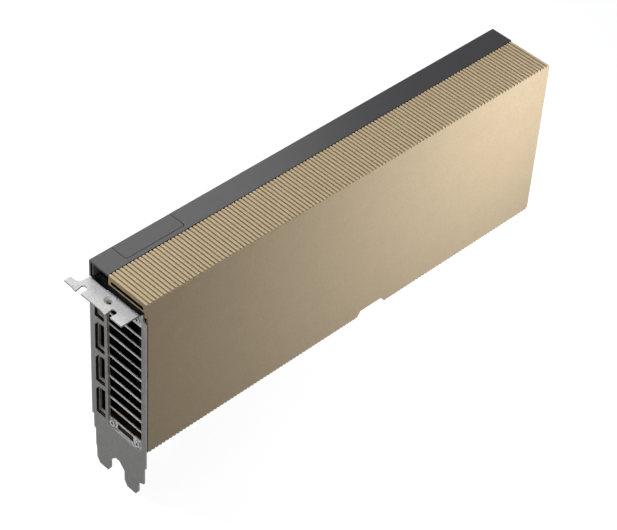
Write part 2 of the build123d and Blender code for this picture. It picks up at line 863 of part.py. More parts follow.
def frame_screw(y):
    x = (frame_near + frame_far) / 2
    head_z = shroud_low_z + small_head_rise
    head = rod_z(x, y, head_z - small_head_rise, head_z, small_head)
    shank = rod_z(x, y, head_z, band_over + small_reach - sheet, small_shank)
    return head + shank - rod_z(x, y, shroud_low_z - sheet, shroud_low_z + recess_depth, recess_radius)


def lug_screw():
    x = bracket_inner + lug_screw_x
    z = lug_low_z + lug_height / 2
    top = board_front - sheet
    head = rod_y(x, top - lug_head_rise, top, z, screw_head)
    shank = rod_y(x, top, backplate_inner, z, screw_shank)
    return head + shank - rod_y(x, top - 2 * lug_head_rise, top - lug_head_rise + recess_depth, z,
                                recess_radius)


def square_on_board(x, z, size_x, size_z, y0, y1):
    return block(x - size_x / 2, x + size_x / 2, y0, y1, z - size_z / 2, z + size_z / 2)


def memory_places():
    """Twelve memory chips, three on each side of the processor, as (x, z, size_x, size_z)."""
    reach = substrate_size / 2 + memory_gap + memory_short / 2
    places = []
    for step in (-memory_pitch, 0, memory_pitch):
        places.append((processor_x - reach, processor_z + step, memory_short, memory_long))
        places.append((processor_x + reach, processor_z + step, memory_short, memory_long))
        places.append((processor_x + step, processor_z - reach, memory_long, memory_short))
        places.append((processor_x + step, processor_z + reach, memory_long, memory_short))
    return places


def make_cold_block():
    """The copper block that presses on the processor and the memory."""
    half = memory_reach + block_margin
    body = square_on_board(processor_x, processor_z, 2 * half, 2 * half, block_top, die_top)
    holes = [rod_y(x, die_top + sheet, block_top + sheet, z, screw_shank + hole_clearance / 2)
             for x, z in spring_places()]
    return cut(body, holes)


def make_fin_stack():
    """One row of thin upright fins on a common foot sheet, running along the card."""
    pitch = (chamber_high_z - chamber_low_z - fin_thick) / (fin_count - 1)
    web = chamber_top - fin_web
    comb = []
    for index in range(fin_count):
        low = chamber_low_z + index * pitch
        comb += [(web, low), (fin_tip, low), (fin_tip, low + fin_thick), (web, low + fin_thick)]
    comb = [(chamber_top, chamber_low_z), *comb[1:-1], (chamber_top, chamber_high_z)]
    return plate_x(comb, chamber_near, chamber_far)


def inductor_places():
    return [(inductor_x + column * inductor_step_x,
             processor_z + (row - (inductor_rows - 1) / 2) * inductor_step_z)
            for column in range(inductor_columns) for row in range(inductor_rows)]


def make_processor_ring():
    """The stiffener round the processor's die."""
    seat = board_front - substrate_thick
    window = substrate_size - 2 * ring_width
    plate = square_on_board(processor_x, processor_z, substrate_size, substrate_size, seat - ring_thick, seat)
    return plate - square_on_board(processor_x, processor_z, window, window, broad_face, back_face)


def make_inductor(x, z):
    body = square_on_board(x, z, inductor_size, inductor_size, board_front - inductor_height, board_front)
    return chamfer(body.edges().filter_by(Axis.Y), inductor_chamfer)


def power_stages():
    x = inductor_x + inductor_step_x / 2
    count = 2 * inductor_rows - 1
    return [square_on_board(x, processor_z + (index - (count - 1) / 2) * inductor_step_z / 2, stage_width,
                            stage_length, board_front - stage_height, board_front) for index in range(count)]


def capacitors():
    cans = []
    for column in range(capacitor_columns):
        for row in range(capacitor_rows):
            z = processor_z + (row - (capacitor_rows - 1) / 2) * capacitor_pitch
            x = capacitor_x + column * capacitor_pitch
            cans.append(rod_y(x, board_front - capacitor_height, board_front, z, capacitor_radius,
                              can_side_count))
    return cans


plug_far = far_end - plug_far_gap
plug_near = plug_far - plug_length
plug_cells = [(board_front - plug_height / 2 + side * cell_pitch / 2,
               plug_low_z + plug_width / 2 + (index - (cell_columns - 1) / 2) * cell_pitch)
              for side in (-1, 1) for index in range(cell_columns)]


def make_power_connector():
    """The power connector at the far end: a housing with eight square cells and a latch ridge."""
    body = block(plug_near, plug_far, board_front - plug_height, board_front, plug_low_z,
                 plug_low_z + plug_width)
    middle = plug_low_z + plug_width / 2
    latch = block(plug_far - latch_length, plug_far, board_front - plug_height - latch_height,
                  board_front - plug_height, middle - latch_width / 2, middle + latch_width / 2)
    half = cell_size / 2
    cells = [block(plug_far - cell_depth, plug_far + sheet, y - half, y + half, z - half, z + half)
             for y, z in plug_cells]
    return cut(body + latch, cells)


def power_pins():
    start = plug_far - cell_depth
    half = pin_size / 2
    return [block(start, start + pin_length, y - half, y + half, z - half, z + half) for y, z in plug_cells]


def make_spring_plate():
    """A cross of two arms behind the processor, which spreads the spring screws' pull."""
    length = 2 * spring_offset * 2 ** 0.5
    middle = board_back + spring_thick / 2
    arms = [Pos(processor_x, middle, processor_z) * Rot(0, turn, 0) * Box(length, spring_thick, spring_arm)
            for turn in (spring_turn, -spring_turn)]
    ends = [rod_y(x, board_back, board_back + spring_thick, z, spring_arm / 2) for x, z in spring_places()]
    holes = [rod_y(x, board_front, back_face, z, screw_shank + hole_clearance) for x, z in spring_places()]
    return cut(fuse([*arms, *ends]), holes)


def spring_screw(x, z):
    seat = board_back + spring_thick
    head = rod_y(x, seat, seat + spring_head_rise, z, spring_head)
    shank = rod_y(x, die_top - block_thick / 2, seat, z, screw_shank)
    recess = rod_y(x, seat + spring_head_rise - recess_depth, back_face, z, recess_radius)
    return head + shank - recess


def build_parts():
    """Every piece of the card, by name. A list is a group of separate solids."""
    parts = {
        "bracket": make_bracket(),
        "vent_grille": make_vent_grille(),
        "grille_screws": [small_screw_x(y, z) for y, z in grille_screw_places],
        "bracket_screws": lug_screw(),
        "circuit_board": make_circuit_board(),
        "edge_contacts_front": finger_contacts(board_front - contact_thick, board_front),
        "edge_contacts_back": finger_contacts(board_back, board_back + contact_thick),
        "link_contacts": link_contacts(),
        "shroud": make_shroud(),
        "top_rail": make_top_rail(),
        "hatch_cover": make_hatch_cover(),
        "backplate": make_backplate(),
        "backplate_screws": board_screws(),
        "board_standoffs": [spacer(x, z, board_back, backplate_inner) for x, z in
                            [(x, screw_row_low) for x in screw_columns] + foot_places()],
        "board_posts": [spacer(x, z, block_top, board_front) for x in screw_columns
                        for z in (screw_row_low, screw_row_high)],
        "near_crossbar": make_near_crossbar(),
        "far_frame": make_far_frame(),
        "shroud_screws": [frame_screw(y) for y in frame_screw_ys],
        "cold_block": make_cold_block(),
        "vapour_chamber": block(chamber_near, chamber_far, chamber_top, block_top, chamber_low_z,
                                chamber_high_z),
        "fin_stack": make_fin_stack(),
        "processor_substrate": square_on_board(processor_x, processor_z, substrate_size, substrate_size,
                                               board_front - substrate_thick, board_front),
        "processor_die": square_on_board(processor_x, processor_z, die_size, die_size, die_top,
                                         board_front - substrate_thick),
        "processor_ring": make_processor_ring(),
        "memory_pads": [square_on_board(x, z, size_x, size_z, die_top, board_front - memory_thick)
                        for x, z, size_x, size_z in memory_places()],
        "inductor_pads": [square_on_board(x, z, inductor_size - 2 * inductor_chamfer,
                                          inductor_size - 2 * inductor_chamfer, block_top,
                                          board_front - inductor_height) for x, z in inductor_places()],
        "power_stages": power_stages(),
        "capacitors": capacitors(),
        "power_connector": make_power_connector(),
        "power_pins": power_pins(),
        "spring_plate": make_spring_plate(),
        "spring_screws": [spring_screw(x, z) for x, z in spring_places()],
    }
    for index, z in enumerate(port_zs, start=1):
        parts[f"video_port_shell_{index}"] = port_shell(z)
        parts[f"video_port_insert_{index}"] = port_insert(z)
    for index, (x, z, size_x, size_z) in enumerate(memory_places(), start=1):
        parts[f"memory_chip_{index:02d}"] = square_on_board(x, z, size_x, size_z, board_front - memory_thick,
                                                            board_front)
    for index, (x, z) in enumerate(inductor_places(), start=1):
        parts[f"inductor_{index}"] = make_inductor(x, z)
    return parts


os.makedirs("parts", exist_ok=True)
for name, solid in build_parts().items():
    if isinstance(solid, list):
        solid = Compound(children=solid)
    export_step(solid, f"parts/{name}.step")
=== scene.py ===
# %% [markdown]
# # A passive accelerator card, dressed for a studio picture
# The card is two slots wide and has no fan: a ribbed gold cover lies over a finned heatsink,
# a black rail runs along its top, and a vented steel bracket closes its near end.
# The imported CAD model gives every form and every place. This lesson softens the edges of the
# visible pieces, adds the small details that catch the eye, and gives each piece its finish.

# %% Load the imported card
import math

import bmesh
import bpy
from mathutils import Matrix, Vector


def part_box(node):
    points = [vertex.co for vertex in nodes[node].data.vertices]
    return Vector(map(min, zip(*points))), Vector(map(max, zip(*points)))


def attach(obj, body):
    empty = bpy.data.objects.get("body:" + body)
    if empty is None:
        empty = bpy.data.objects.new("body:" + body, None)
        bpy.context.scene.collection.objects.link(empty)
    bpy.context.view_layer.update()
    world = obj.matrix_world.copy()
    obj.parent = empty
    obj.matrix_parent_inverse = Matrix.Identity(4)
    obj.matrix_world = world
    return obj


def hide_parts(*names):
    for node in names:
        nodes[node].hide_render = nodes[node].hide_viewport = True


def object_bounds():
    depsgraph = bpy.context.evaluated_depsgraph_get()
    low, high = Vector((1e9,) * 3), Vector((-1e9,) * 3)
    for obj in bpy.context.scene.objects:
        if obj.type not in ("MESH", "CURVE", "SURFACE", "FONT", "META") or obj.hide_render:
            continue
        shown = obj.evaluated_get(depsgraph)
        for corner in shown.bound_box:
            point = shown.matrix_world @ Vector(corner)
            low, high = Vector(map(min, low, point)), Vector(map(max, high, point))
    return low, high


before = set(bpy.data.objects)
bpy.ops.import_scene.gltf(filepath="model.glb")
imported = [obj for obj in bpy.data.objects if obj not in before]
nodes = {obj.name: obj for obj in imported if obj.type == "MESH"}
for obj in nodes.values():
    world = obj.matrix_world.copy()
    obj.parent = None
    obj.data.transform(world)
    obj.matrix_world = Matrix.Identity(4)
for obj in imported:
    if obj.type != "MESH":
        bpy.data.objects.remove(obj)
cad_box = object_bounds()
MM = 0.001
PORT_COUNT = 4
MEMORY_COUNT = 12
INDUCTOR_COUNT = 6
print("nodes loaded:", len(nodes))

# %% [markdown]
# ## The camera
# The photograph looks down on the card from the bracket end with a long lens.
# The place and the turn of the camera come from lining up the card's straight edges, so the
# camera is given by its place, the direction that it looks in, and its own upward direction.

# %% Camera
camera_place = Vector((-0.50507, -0.55183, 0.76810))
look_azimuth = math.radians(-46.687)
look_height = math.radians(42.684)
camera_roll = math.radians(4.038)
back = Vector((math.sin(look_azimuth) * math.cos(look_height),
               -math.cos(look_azimuth) * math.cos(look_height),
               math.sin(look_height)))
level_right = (-back).cross(Vector((0, 0, 1))).normalized()
level_up = level_right.cross(-back)
right = math.cos(camera_roll) * level_right + math.sin(camera_roll) * level_up
up = -math.sin(camera_roll) * level_right + math.cos(camera_roll) * level_up
camera_data = bpy.data.cameras.new("photo camera")
camera_data.lens = 126.146
camera_data.sensor_width = 36.0
camera_data.clip_start = 0.01
camera_data.clip_end = 20.0
camera = bpy.data.objects.new("photo camera", camera_data)
turn = Matrix((right, up, back)).transposed().to_4x4()
camera.matrix_world = Matrix.Translation(camera_place) @ turn
bpy.context.scene.collection.objects.link(camera)
bpy.context.scene.camera = camera
print("camera lens in mm:", camera_data.lens)

# %% [markdown]
# ## Tools for the finishes
# Every finish here is one shader with a few nodes in front of it. A fine noise makes the grain
# of blasted or plated metal through a bump, and a broad, faint noise varies the colour and the
# roughness, because no real surface is the same all over. The noise reads object coordinates,
# so that the grain keeps its real size on every piece. Its value hardly leaves the range from
# NOISE_LOW to NOISE_HIGH, so that range is stretched over the wanted one.

# %% Finish tools
NOISE_LOW = 0.3
NOISE_HIGH = 0.7
PATCH_DETAIL = 3.0
SPECKLE_MM = 0.6
GRAIN_DEPTH = 0.02 * MM


def new_finish(name, color, metallic, roughness):
    """A material with one shader, whose constants are set on the shader's own sockets."""
    material = bpy.data.materials.new(name)
    material.use_nodes = True
    shader = material.node_tree.nodes["Principled BSDF"]
    shader.inputs["Base Color"].default_value = (*color, 1.0)
    shader.inputs["Metallic"].default_value = metallic
    shader.inputs["Roughness"].default_value = roughness
    return material, shader


def noise(material, size_mm, detail=2.0):
    """Noise on object coordinates whose features are about size_mm across."""
    tree = material.node_tree
    place = tree.nodes.new("ShaderNodeTexCoord")
    texture = tree.nodes.new("ShaderNodeTexNoise")
    texture.inputs["Scale"].default_value = 1.0 / (size_mm * MM)
    texture.inputs["Detail"].default_value = detail
    tree.links.new(place.outputs["Object"], texture.inputs["Vector"])
    return texture.outputs["Fac"]


def wandering(material, size_mm, low, high):
    """A value that wanders between low and high, with features about size_mm across."""
    tree = material.node_tree
    stretch = tree.nodes.new("ShaderNodeMapRange")
    stretch.inputs["From Min"].default_value = NOISE_LOW
    stretch.inputs["From Max"].default_value = NOISE_HIGH
    stretch.inputs["To Min"].default_value = low
    stretch.inputs["To Max"].default_value = high
    tree.links.new(noise(material, size_mm), stretch.inputs["Value"])
    return stretch.outputs["Result"]


def patchy_color(material, color, share, size_mm, speckle):
    """A colour that wanders by a share over patches of size_mm, and by speckle between grains."""
    tree = material.node_tree
    ramp = tree.nodes.new("ShaderNodeValToRGB")
    darker, lighter = ramp.color_ramp.elements
    darker.position = NOISE_LOW
    lighter.position = NOISE_HIGH
    darker.color = (*[part * (1 - share) for part in color], 1)
    lighter.color = (*[min(part * (1 + share), 1) for part in color], 1)
    tree.links.new(noise(material, size_mm, PATCH_DETAIL), ramp.inputs["Fac"])
    if not speckle:
        return ramp.outputs["Color"]
    speckled = tree.nodes.new("ShaderNodeVectorMath")
    speckled.operation = "SCALE"
    factor = wandering(material, SPECKLE_MM, 1 - speckle, 1 + speckle)
    tree.links.new(ramp.outputs["Color"], speckled.inputs[0])
    tree.links.new(factor, speckled.inputs["Scale"])
    return speckled.outputs["Vector"]


def grain_normal(material, size_mm, strength):
    """The fine bumps that blasting and plating leave."""
    tree = material.node_tree
    bump = tree.nodes.new("ShaderNodeBump")
    bump.inputs["Strength"].default_value = strength
    bump.inputs["Distance"].default_value = GRAIN_DEPTH
    tree.links.new(noise(material, size_mm), bump.inputs["Height"])
    return bump.outputs["Normal"]


def surface(name, color, roughness, grain_mm=0.3, grain=0.15, metallic=0.0, share=0.04,
            patch_mm=9.0, specular=0.5, wander=0.04, speckle=0.0):
    """A finish with fine grain, faint patches, and a roughness that wanders a little."""
    material, shader = new_finish(name, color, metallic, roughness)
    shader.inputs["Specular IOR Level"].default_value = specular
    tree = material.node_tree
    wanted = {
        "Base Color": patchy_color(material, color, share, patch_mm, speckle),
        "Roughness": wandering(material, patch_mm / 2, roughness - wander, roughness + wander),
        "Normal": grain_normal(material, grain_mm, grain),
    }
    for socket_name, value in wanted.items():
        tree.links.new(value, shader.inputs[socket_name])
    return material


print("finish tools ready")

# %% [markdown]
# ## The finishes
# The cover is aluminium, blasted matte and anodised in a champagne gold. The rail, the hatch, the
# backplate and the frames are black. Surfaces this matte scatter nearly all of their light, so
# they take most of their tone from the base colour and hardly mirror anything.

# %% Finishes of the cover and the rail
GROOVE_SHADE = 0.78
gold_color = (0.57, 0.45, 0.265)
groove_shade_color = tuple(GROOVE_SHADE * part for part in gold_color)
cover_gold = surface("champagne gold", gold_color, 0.50, grain_mm=0.5, grain=1.0, share=0.02,
                     specular=0.06, speckle=0.07)
# The darker gold on the groove faces is painted shade.
groove_shade_gold = surface("champagne gold with painted groove shade", groove_shade_color, 0.60, grain_mm=0.4, grain=0.5,
                      share=0.02, specular=0.05)
# The near-black inside of the cover is painted shade.
cover_inside_shade = surface("painted shade inside the cover", (0.020, 0.009, 0.003), 0.60, specular=0.1)
rail_black = surface("satin black rail", (0.022, 0.022, 0.0225), 0.29, grain_mm=0.4, grain=0.5,
                     share=0.02, specular=0.25, wander=0.008)
hatch_black = surface("satin black hatch", (0.023, 0.023, 0.0235), 0.30, grain_mm=0.4, grain=0.5,
                      share=0.02, specular=0.25, wander=0.008)
plate_black = surface("matte black backplate", (0.030, 0.030, 0.032), 0.48, grain_mm=0.25,
                      grain=0.2, share=0.03)
frame_black = surface("black frame paint", (0.008, 0.008, 0.008), 0.55, grain=0.2, specular=0.06)
# The paler grey on the rail's rib is painted light.
rail_rib_light = surface("painted light on the rail's rib", (0.15, 0.15, 0.15), 0.40, grain=0.2, specular=0.3)
print("cover and rail finishes:", len(bpy.data.materials))

# %% [markdown]
# The bracket and the grille are plated steel, a soft grey with a fine sparkle. Plating as matte
# as this scatters most of its light too, so its metallic share stays low.

# %% Finishes of the steel parts
nickel = surface("nickel plate", (0.62, 0.61, 0.575), 0.42, grain_mm=0.45, grain=1.0, metallic=0.06,
                 share=0.03, patch_mm=5.0, specular=0.1, speckle=0.13)
grille_nickel = surface("grille nickel", (0.84, 0.84, 0.83), 0.38, grain=0.3, metallic=0.30,
                        share=0.03)
screw_zinc = surface("zinc screws", (0.50, 0.50, 0.51), 0.34, grain_mm=0.1, grain=0.1, metallic=0.5,
                     share=0.05, patch_mm=2.0)
# The black of the screw recesses is painted shade.
recess_shade_black = surface("painted shade in a screw recess", (0.015, 0.015, 0.015), 0.5, grain_mm=0.1, grain=0.1,
                      specular=0.2)
black_nickel = surface("black nickel spring", (0.16, 0.16, 0.17), 0.33, grain_mm=0.2, grain=0.1,
                       metallic=1.0, share=0.06)
shell_nickel = surface("port shell", (0.80, 0.69, 0.60), 0.34, grain_mm=0.2, grain=0.08,
                       metallic=0.2, share=0.05, patch_mm=3.0)
# This near-black is painted shade, on the outsides of the port shells and the walls of the
# bracket's port windows.
painted_shade_dark = surface("painted shade on port shells and window walls", (0.020, 0.019, 0.018), 0.45, grain_mm=0.2,
                     grain=0.08, share=0.05, patch_mm=3.0, specular=0.1)
port_black = surface("black port block", (0.006, 0.006, 0.006), 0.5, grain_mm=0.2, grain=0.1,
                     specular=0.06)
print("finishes so far:", len(bpy.data.materials))

# %% [markdown]
# Inside, the block that touches the processor is bare copper. The chamber and the fins are
# painted black as painted shade, because only shade shows through the vent. The chips are moulded
# resin, the coils are pressed ferrite, and the small capacitors are tan ceramic with tinned ends.
# Only the bare metals here are fully metallic.

# %% Finishes of the inside
copper = surface("machined copper", (0.72, 0.36, 0.22), 0.36, grain=0.1, metallic=1.0, share=0.06)
# The black of the chamber and of the fins is painted shade.
chamber_shade_black = surface("chamber in painted shade", (0.030, 0.030, 0.031), 0.45, grain=0.12, share=0.05,
                        specular=0.3)
fin_shade_black = surface("fins in painted shade", (0.012, 0.012, 0.012), 0.42, grain_mm=0.4, grain=0.1,
                    share=0.05, specular=0.2)
contact_gold = surface("gold contacts", (0.80, 0.58, 0.22), 0.24, grain_mm=0.1, grain=0.05,
                       metallic=1.0, share=0.03, patch_mm=1.5)
chip_resin = surface("chip resin", (0.018, 0.018, 0.019), 0.50, grain_mm=0.15, grain=0.3)
laminate_green = surface("chip laminate", (0.02, 0.09, 0.035), 0.35, grain_mm=0.2, grain=0.1)
die_silicon = surface("polished silicon", (0.12, 0.125, 0.15), 0.12, grain_mm=0.5, grain=0.02,
                      metallic=0.6, wander=0.02)
ring_steel = surface("nickel ring", (0.52, 0.51, 0.49), 0.30, grain_mm=0.2, grain=0.08,
                     metallic=1.0)
pad_grey = surface("thermal pad", (0.24, 0.27, 0.33), 0.80, grain_mm=0.5, grain=0.5)
ferrite = surface("pressed ferrite", (0.045, 0.045, 0.047), 0.62, grain_mm=0.25, grain=0.5)
can_metal = surface("capacitor cans", (0.66, 0.66, 0.67), 0.28, grain=0.05, metallic=1.0)
plug_nylon = surface("black nylon", (0.012, 0.012, 0.013), 0.36, grain=0.1, specular=0.3)
ceramic_tan = surface("ceramic bodies", (0.28, 0.17, 0.09), 0.45, grain_mm=0.2, grain=0.1,
                      patch_mm=1.5, share=0.10)
solder_tin = surface("tinned ends", (0.62, 0.62, 0.60), 0.30, grain_mm=0.2, grain=0.1, metallic=1.0)
print("finishes in all:", len(bpy.data.materials))

# %% [markdown]
# The board's solder mask is black and glossy, and faint copper tracks show through it as
# slightly lighter, straight runs. A brick pattern stretched along the board gives such runs
# without drawing any of them by hand.

# %% The board's finish
track_look = {
    "Color1": (0.010, 0.013, 0.012, 1), "Color2": (0.015, 0.019, 0.017, 1),
    "Mortar": (0.006, 0.007, 0.007, 1), "Scale": 110.0, "Mortar Size": 0.06, "Brick Width": 1.9,
    "Row Height": 0.11,
}
board_mask, board_shader = new_finish("black solder mask", (0.010, 0.012, 0.011), 0.0, 0.28)
board_tree = board_mask.node_tree
board_place = board_tree.nodes.new("ShaderNodeTexCoord")
board_turn = board_tree.nodes.new("ShaderNodeMapping")
board_turn.inputs["Rotation"].default_value = (math.radians(90), 0, 0)
tracks = board_tree.nodes.new("ShaderNodeTexBrick")
for socket_name, value in track_look.items():
    tracks.inputs[socket_name].default_value = value
board_tree.links.new(board_place.outputs["Object"], board_turn.inputs["Vector"])
board_tree.links.new(board_turn.outputs["Vector"], tracks.inputs["Vector"])
board_tree.links.new(tracks.outputs["Color"], board_shader.inputs["Base Color"])
print("board finish:", board_mask.name)

# %% [markdown]
# ## Softer edges
# CAD edges are perfectly sharp, and a sharp edge never catches the light. Real sheet metal and
# castings have a small round on each edge. So each visible piece is a merged copy of its CAD
# node: the flat faces are joined, every sharp edge gets a narrow bevel, and the copy replaces
# the node. The widths stay at a tenth or so of a millimetre, so no size changes.

# %% The edge tool
WELD = 0.002 * MM
FLAT_ANGLE = math.radians(1.0)
WIDE_SEGMENTS = 3
X_AXIS, Y_AXIS, Z_AXIS = 0, 1, 2
ACROSS = 0.5


def shape_to_piece(shape, name, material):
    """Writes a bmesh to a new object at the origin, smooth with its flat faces kept flat."""
    mesh = bpy.data.meshes.new(name)
    shape.to_mesh(mesh)
    shape.free()
    for face in mesh.polygons:
        face.use_smooth = True
    piece = bpy.data.objects.new(name, mesh)
    bpy.context.scene.collection.objects.link(piece)
    mesh.materials.append(material)
    even = piece.modifiers.new("flat faces stay flat", "WEIGHTED_NORMAL")
    even.keep_sharp = False
    even.weight = 100
    return piece


def merged_copy(node_name):
    """A node's mesh as a bmesh, with its triangles joined to flat faces."""
    shape = bmesh.new()
    shape.from_mesh(nodes[node_name].data)
    bmesh.ops.remove_doubles(shape, verts=shape.verts, dist=WELD)
    bmesh.ops.dissolve_limit(shape, angle_limit=FLAT_ANGLE, verts=shape.verts, edges=shape.edges)
    return shape


def round_edges(shape, edges, width_mm, segments):
    bmesh.ops.bevel(shape, geom=edges, offset=width_mm * MM, offset_type="OFFSET",
                    segments=segments, profile=0.5, affect="EDGES", clamp_overlap=True, material=-1)


def soft_piece(node_name, material, width_mm, segments=2, sharp_deg=35, first_rounds=None):
    """A copy of a CAD node whose sharp edges are rounded, in that node's place.

    first_rounds picks edges that get a wider round of their own before the rest.
    """
    shape = merged_copy(node_name)
    if first_rounds:
        picked, wide_mm = first_rounds
        round_edges(shape, [edge for edge in shape.edges if picked(edge)], wide_mm, WIDE_SEGMENTS)
    limit = math.radians(sharp_deg)
    sharp = [edge for edge in shape.edges if edge.is_manifold and edge.calc_face_angle(0) > limit]
    round_edges(shape, sharp, width_mm, segments)
    piece = shape_to_piece(shape, node_name + "_dressed", material)
    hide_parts(node_name)
    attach(piece, "root")
    return piece


def looks_across(face, axis, limit=ACROSS):
    """True for a face that looks across an axis rather than along it."""
    return abs(face.normal[axis]) < limit


def paint(piece, material, chosen):
    """Gives a further material to the faces that chosen picks, and returns their number."""
    piece.data.materials.append(material)
    picked = [face for face in piece.data.polygons if chosen(face)]
    for face in picked:
        face.material_index = len(piece.data.materials) - 1
    return len(picked)


print("edge tool ready")

# %% [markdown]
# ## The cover
# The cover's ribs are cut across its top and bottom edges, so their ends show as a fine comb
# along the broad face. A bevel on each rib makes the light and dark stripes that the
# photograph shows.

# %% The cover
cover_low, cover_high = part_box("shroud")
TOUCH = 0.01 * MM


def rib_end(edge):
    """True for the short edge where one rib's top, or the bottom one's, meets the broad face."""
    on_face = all(abs(point.co.y - cover_low.y) < TOUCH for point in edge.verts)
    at_top = all(abs(point.co.z - cover_high.z) < TOUCH for point in edge.verts)
    at_foot = all(abs(point.co.z - cover_low.z) < TOUCH for point in edge.verts)
    return on_face and (at_top or at_foot)


cover = soft_piece("shroud", cover_gold, 0.16, first_rounds=(rib_end, 0.55))
print("corners on the cover:", len(cover.data.vertices))

# %% [markdown]
# One mesh can carry several finishes, one slot each. The grooves between the ribs are painted a
# darker gold, as painted shade. The inside of the cover, the face behind the grille and the walls
# of the slot in the near end are painted nearly black, also as painted shade. Where the middle of
# a face lies tells what it belongs to, and JUST_UNDER and JUST_OVER leave a little play at a size.

# %% Painted shade in the grooves and inside the cover
JUST_UNDER = 0.95
JUST_OVER = 1.05
cover_wall = 1.2 * MM
cover_band = 2.2 * MM
rib_depth = 0.8 * MM
groove_depths = (0.2 * rib_depth, JUST_OVER * rib_depth)
rib_face_margin = 0.65 * MM
near_wall = 2.0 * MM
near_skin = 0.2 * MM
set_back = 0.5 * MM
slot_margin = 1.5 * MM
slot_low = 22.0 * MM
nearly_square = 0.9


def inside_cover(face):
    """True inside the cover, on the face behind the grille, and on the walls of the near slot."""
    middle = face.center
    from_top = cover_high.z - middle.z
    from_foot = middle.z - cover_low.z
    from_near_end = middle.x - cover_low.x
    from_broad_face = middle.y - cover_low.y
    in_hollow = (from_near_end > near_wall and from_broad_face > JUST_UNDER * cover_wall
                 and min(from_top, from_foot) > JUST_UNDER * cover_band)
    behind_grille = (from_foot < JUST_OVER * cover_band and from_near_end > set_back
                     and face.normal.x < -nearly_square)
    in_slot = (near_skin < from_near_end < near_wall and from_broad_face > slot_margin
               and from_top > cover_band and from_foot > slot_low and looks_across(face, X_AXIS))
    return in_hollow or behind_grille or in_slot


def in_groove(face):
    """True on the floor and the flanks of the grooves between the ribs."""
    shallow, deep = groove_depths
    from_edges = (cover_high.z - face.center.z, face.center.z - cover_low.z)
    return (looks_across(face, Y_AXIS) and face.center.y > cover_low.y + rib_face_margin
            and any(shallow < depth < deep for depth in from_edges))


print("inside faces:", paint(cover, cover_inside_shade, inside_cover))
print("groove faces:", paint(cover, groove_shade_gold, in_groove))

# %% [markdown]
# ## The rail, the bracket and the other large pieces
# The rail's edges are crisp, and the rib inside its open end is painted paler, as painted light.
# The bracket is thin sheet. The cut walls of its port windows are painted dark, as painted
# shade.

# %% The rail and the bracket
rail_rib_front = 0.4 * MM
rail_rib_back = 1.3 * MM
rail_rib_reach = 8.5 * MM
rail_rib_drop = 1.3 * MM
window_margin = 0.9 * MM
wall_slant = 0.3
port_boxes = [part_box(f"video_port_shell_{index}") for index in range(1, PORT_COUNT + 1)]


def on_rail_rib(face):
    middle = face.center
    return (rail_rib_front < middle.y < rail_rib_back and middle.x < cover_low.x + rail_rib_reach
            and middle.z < cover_high.z - rail_rib_drop)


def in_window_wall(face):
    """True on the bracket's cut edge round one of the ports."""
    middle = face.center
    near_port = any(low.y - window_margin < middle.y < high.y + window_margin
                    and low.z - window_margin < middle.z < high.z + window_margin
                    for low, high in port_boxes)
    return near_port and looks_across(face, X_AXIS, wall_slant)


rail = soft_piece("top_rail", rail_black, 0.15)
print("faces of the rail's paler rib:", paint(rail, rail_rib_light, on_rail_rib))
soft_piece("hatch_cover", hatch_black, 0.12)
bracket = soft_piece("bracket", nickel, 0.10, sharp_deg=9)
print("faces in the walls of the port windows:", paint(bracket, painted_shade_dark, in_window_wall))
soft_piece("vent_grille", grille_nickel, 0.08, segments=1)
soft_piece("backplate", plate_black, 0.15)
soft_piece("far_frame", frame_black, 0.15)
soft_piece("near_crossbar", frame_black, 0.15)
soft_piece("power_connector", plug_nylon, 0.12)
soft_piece("spring_plate", black_nickel, 0.12)
print("large pieces softened")

# %% [markdown]
# ## The ports and the parts on the board
# A port's shell keeps its bright plating inside, where the window shows it. Outside, where only
# the vent looks at it, it is painted dark as painted shade. A face whose normal points away from
# the shell's axis is an outside face.


# %% The ports and the parts on the board
def turned_outward(face, axis_point):
    away = face.center - axis_point
    return looks_across(face, X_AXIS) and face.normal.y * away.y + face.normal.z * away.z > 0


for index, (low, high) in enumerate(port_boxes, start=1):
    shell = soft_piece(f"video_port_shell_{index}", shell_nickel, 0.06, segments=1)
    shell_middle = (low + high) / 2
    paint(shell, painted_shade_dark, lambda face: turned_outward(face, shell_middle))
    soft_piece(f"video_port_insert_{index}", port_black, 0.10, segments=1)
for index in range(1, MEMORY_COUNT + 1):
    soft_piece(f"memory_chip_{index:02d}", chip_resin, 0.06, segments=1)
for index in range(1, INDUCTOR_COUNT + 1):
    soft_piece(f"inductor_{index}", ferrite, 0.15)
soft_piece("cold_block", copper, 0.15)
soft_piece("vapour_chamber", chamber_shade_black, 0.3)
print("board pieces softened")

# %% [markdown]
# ## The screws
# Each screw's head has a recess for the driver. It is deep for its width, so little light gets
# in, and its faces are painted black as painted shade inside a bright ring. The screws of one
# node are loose from each other in the mesh, so a walk along the edges finds each one, and its
# box gives its axis. The faces near that axis and just below the head are the recess.

# %% The screws
recess_radius = 0.80 * MM
recess_start = 0.06 * MM
recess_depth = 0.58 * MM
screw_heads = {
    "grille_screws": (X_AXIS, -1), "backplate_screws": (Y_AXIS, 1), "spring_screws": (Y_AXIS, 1),
    "bracket_screws": (Y_AXIS, -1), "shroud_screws": (Z_AXIS, -1),
}


def separate_shapes(shape):
    """Lists of the corners that hang together by edges."""
    left = set(shape.verts)
    groups = []
    while left:
        group = [left.pop()]
        for corner in group:
            for edge in corner.link_edges:
                other = edge.other_vert(corner)
                if other in left:
                    left.remove(other)
                    group.append(other)
        groups.append(group)
    return groups


def middle_of(group, axis):
    places = [corner.co[axis] for corner in group]
    return (max(places) + min(places)) / 2


